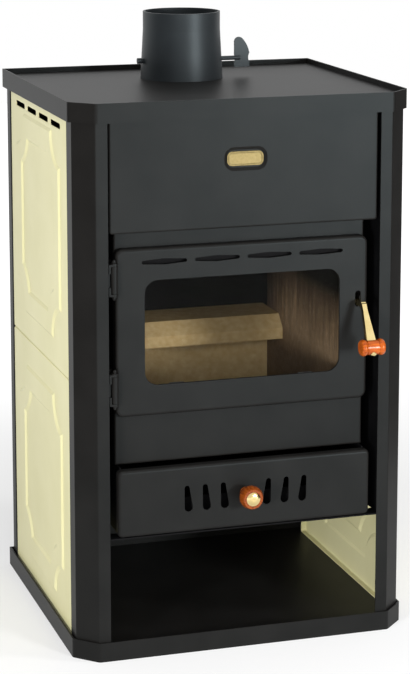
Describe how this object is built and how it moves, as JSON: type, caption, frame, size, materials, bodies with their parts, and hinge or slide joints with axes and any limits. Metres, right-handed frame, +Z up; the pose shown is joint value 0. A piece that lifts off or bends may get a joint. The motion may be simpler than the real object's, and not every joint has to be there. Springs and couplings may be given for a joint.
{
  "type": "wood stove",
  "caption": "Free-standing wood stove with glazed hinged door, ash drawer with air slots, open wood store, cream pressed side tiles and a top flue spigot with damper.",
  "frame": {"origin": "on the floor under the middle of the stove's base", "axes": "+X to the stove's right seen from the front, +Y to its back, +Z up; the door faces -Y"},
  "size_m": [0.52, 0.5169, 0.925],
  "materials": {
    "charcoal_paint": "satin anthracite heat-proof paint",
    "black_sheet": "matt black heat-proof paint",
    "cream_enamel": "glossy cream vitreous enamel on steel",
    "brass": "polished brass",
    "turned_wood": "lacquered turned wood",
    "door_glass": "clear ceramic glass",
    "fire_brick": "tan fire brick, sooted",
    "grey_iron": "raw grey iron",
    "plain_steel": "plain steel",
    "seal_rope": "braided glass-fibre rope"
  },
  "bodies": {
    "stove_body": {"base_tray": "charcoal_paint", "top_tray": "charcoal_paint", "front_left_post": "charcoal_paint", "front_right_post": "charcoal_paint", "rear_left_post": "charcoal_paint", "rear_right_post": "charcoal_paint", "upper_front_panel": "charcoal_paint", "firebox_front_plate": "charcoal_paint", "flue_spigot": "charcoal_paint", "rear_panel": "charcoal_paint", "left_shield": "black_sheet", "right_shield": "black_sheet", "front_rail": "black_sheet", "rear_rail": "black_sheet", "ash_chamber": "black_sheet", "firebox_left_wall": "black_sheet", "firebox_right_wall": "black_sheet", "firebox_back_wall": "black_sheet", "firebox_roof": "black_sheet", "firebox_floor": "black_sheet", "baffle_plate": "black_sheet", "upper_hinge_bracket": "black_sheet", "lower_hinge_bracket": "black_sheet", "ledge_brackets": "black_sheet", "left_lower_tile": "cream_enamel", "left_upper_tile": "cream_enamel", "right_lower_tile": "cream_enamel", "right_upper_tile": "cream_enamel", "badge_plate": "brass", "left_brick": "fire_brick", "right_brick": "fire_brick", "back_brick": "fire_brick", "ledge_brick": "fire_brick", "grate": "grey_iron", "drawer_runners": "plain_steel", "door_keeper": "plain_steel", "upper_hinge_pin": "plain_steel", "lower_hinge_pin": "plain_steel"},
    "door": {"door_panel": "charcoal_paint", "door_glass": "door_glass", "glass_gasket": "seal_rope", "glass_clips": "plain_steel", "door_seal": "seal_rope", "air_deflector": "plain_steel", "upper_hinge_knuckle": "charcoal_paint", "lower_hinge_knuckle": "charcoal_paint", "handle_bracket": "plain_steel", "handle_pin": "plain_steel"},
    "door_handle": {"handle_lever": "brass", "handle_grip": "turned_wood", "grip_nut": "brass"},
    "ash_drawer": {"drawer_front": "charcoal_paint", "ash_box": "plain_steel", "register_guides": "plain_steel"},
    "air_register": {"register_plate": "plain_steel", "drawer_knob": "turned_wood", "knob_bolt": "brass"},
    "flue_damper": {"damper_rod": "plain_steel", "damper_flap": "black_sheet", "damper_handle": "plain_steel"}
  },
  "joints": [
    {"name": "door_hinge", "type": "hinge", "parent": "stove_body", "child": "door", "pos_m": [-0.198, -0.219, 0.489], "axis": [0, 0, -1], "range_deg": [0, 110]},
    {"name": "handle_lift", "type": "hinge", "parent": "door", "child": "door_handle", "pos_m": [0.18, -0.2045, 0.512], "axis": [-1, 0, 0], "range_deg": [0, 40]},
    {"name": "drawer_slide", "type": "slide", "parent": "stove_body", "child": "ash_drawer", "axis": [0, -1, 0], "range_m": [0, 0.3]},
    {"name": "register_slide", "type": "slide", "parent": "ash_drawer", "child": "air_register", "axis": [1, 0, 0], "range_m": [0, 0.014]},
    {"name": "damper_turn", "type": "hinge", "parent": "stove_body", "child": "flue_damper", "pos_m": [0, 0.101, 0.848], "axis": [1, 0, 0], "range_deg": [0, 90]}
  ]
}
